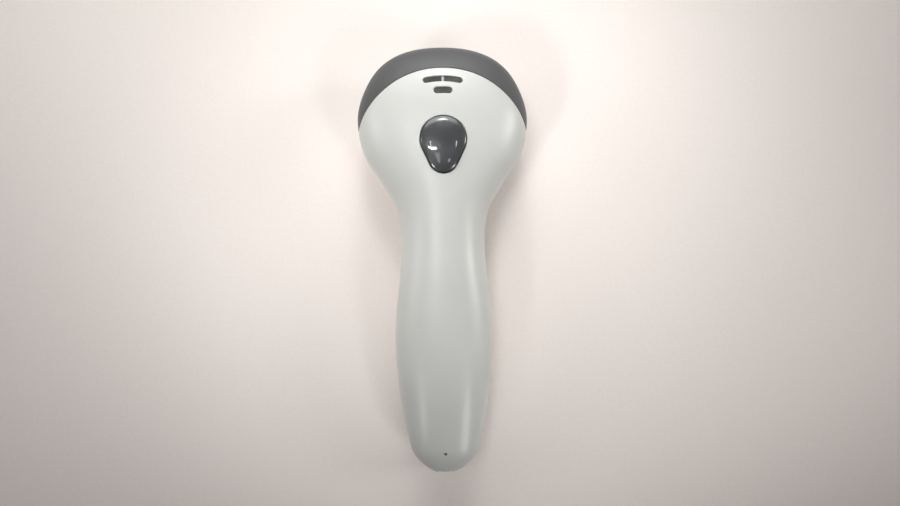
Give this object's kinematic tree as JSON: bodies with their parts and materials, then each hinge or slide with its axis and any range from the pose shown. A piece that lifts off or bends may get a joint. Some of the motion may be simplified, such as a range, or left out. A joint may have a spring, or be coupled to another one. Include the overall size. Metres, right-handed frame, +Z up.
{
  "type": "handheld barcode scanner",
  "caption": "Handheld laser barcode scanner with a rounded head, dark front bumper, egg-shaped trigger button, indicator windows and a slim handle with a modular cable port.",
  "frame": {"origin": "on the table under the middle of the bounding box, with the scanner lying on its underside", "axes": "+Y along the handle towards the nose, +Z up through the trigger side, +X to the right seen from above with the nose ahead"},
  "size_m": [0.0786, 0.1942, 0.0436],
  "materials": {
    "housing": "satin",
    "bumper": "matte, slightly soft",
    "button": "gloss",
    "window": "polished red filter acrylic",
    "smoke": "smoky polished",
    "seal": "foam, matte",
    "board": "solder mask over glass fibre laminate",
    "chip": "matte moulded",
    "natural": "natural nylon",
    "green_led": "clear epoxy",
    "red_led": "clear epoxy",
    "chassis": "glass filled, matte",
    "brass": "turned",
    "steel": "bright",
    "zinc": "zinc plated",
    "clear": "polished clear",
    "mirror": "front silvered",
    "magnet": "nickel plated",
    "copper": "enamelled copper wire",
    "filter": "polished red filter",
    "dark_diode": "dark tinted epoxy",
    "diode": "tinted clear epoxy",
    "ribbon": "flexible film",
    "can": "drawn can",
    "beeper": "moulded",
    "jack": "moulded nylon",
    "gold": "gold plated",
    "label": "silver polyester film, blank"
  },
  "bodies": {
    "housing": {"top_shell": "housing", "bottom_shell": "housing", "front_bumper": "bumper", "scan_window": "window", "window_seal": "seal", "indicator_lens": "smoke", "head_board": "board", "trigger_switch": "chip", "read_led": "green_led", "laser_led": "red_led", "optics_chassis": "chassis", "laser_barrel": "brass", "laser_diode": "steel", "collimator_lens": "clear", "lens_retainer": "chip", "pivot_shaft": "steel", "pivot_bushes": "brass", "drive_coil": "copper", "coil_bobbin": "natural", "coil_core": "steel", "collector_lens": "clear", "light_filter": "filter", "photodiode": "chip", "proximity_emitter": "diode", "proximity_receiver": "dark_diode", "head_board_chips": "chip", "head_connector": "natural", "ribbon_cable": "ribbon", "main_connector": "natural", "main_board": "board", "decoder_chip": "chip", "interface_chip": "chip", "board_capacitors": "can", "clock_crystal": "can", "beeper": "beeper", "cable_jack": "jack", "jack_contacts": "gold", "case_screws": "zinc", "chassis_screws": "zinc", "head_board_screws": "zinc", "main_board_screws": "zinc", "rating_label": "label"},
    "trigger": {"trigger_button": "button"},
    "plunger": {"switch_plunger": "natural"},
    "mirror": {"scan_mirror": "mirror", "mirror_carrier": "chip", "drive_magnet": "magnet"}
  },
  "joints": [
    {"name": "trigger_press", "type": "slide", "parent": "housing", "child": "trigger", "axis": [0, 0, -1], "range_m": [0, 0.0006], "stiffness_N_per_m": 900, "springref_m": -0.0008},
    {"name": "switch_press", "type": "slide", "parent": "housing", "child": "plunger", "axis": [0, 0, -1], "range_m": [0, 0.0006]},
    {"name": "mirror_swing", "type": "hinge", "parent": "housing", "child": "mirror", "pos_m": [0, 0.048, 0.0175], "axis": [0, 0, 1], "range_deg": [-9, 9], "stiffness_Nm_per_rad": 0.0004}
  ],
  "couplings": [
    {"joint": "switch_press", "follows": "trigger_press", "ratio": 1}
  ]
}
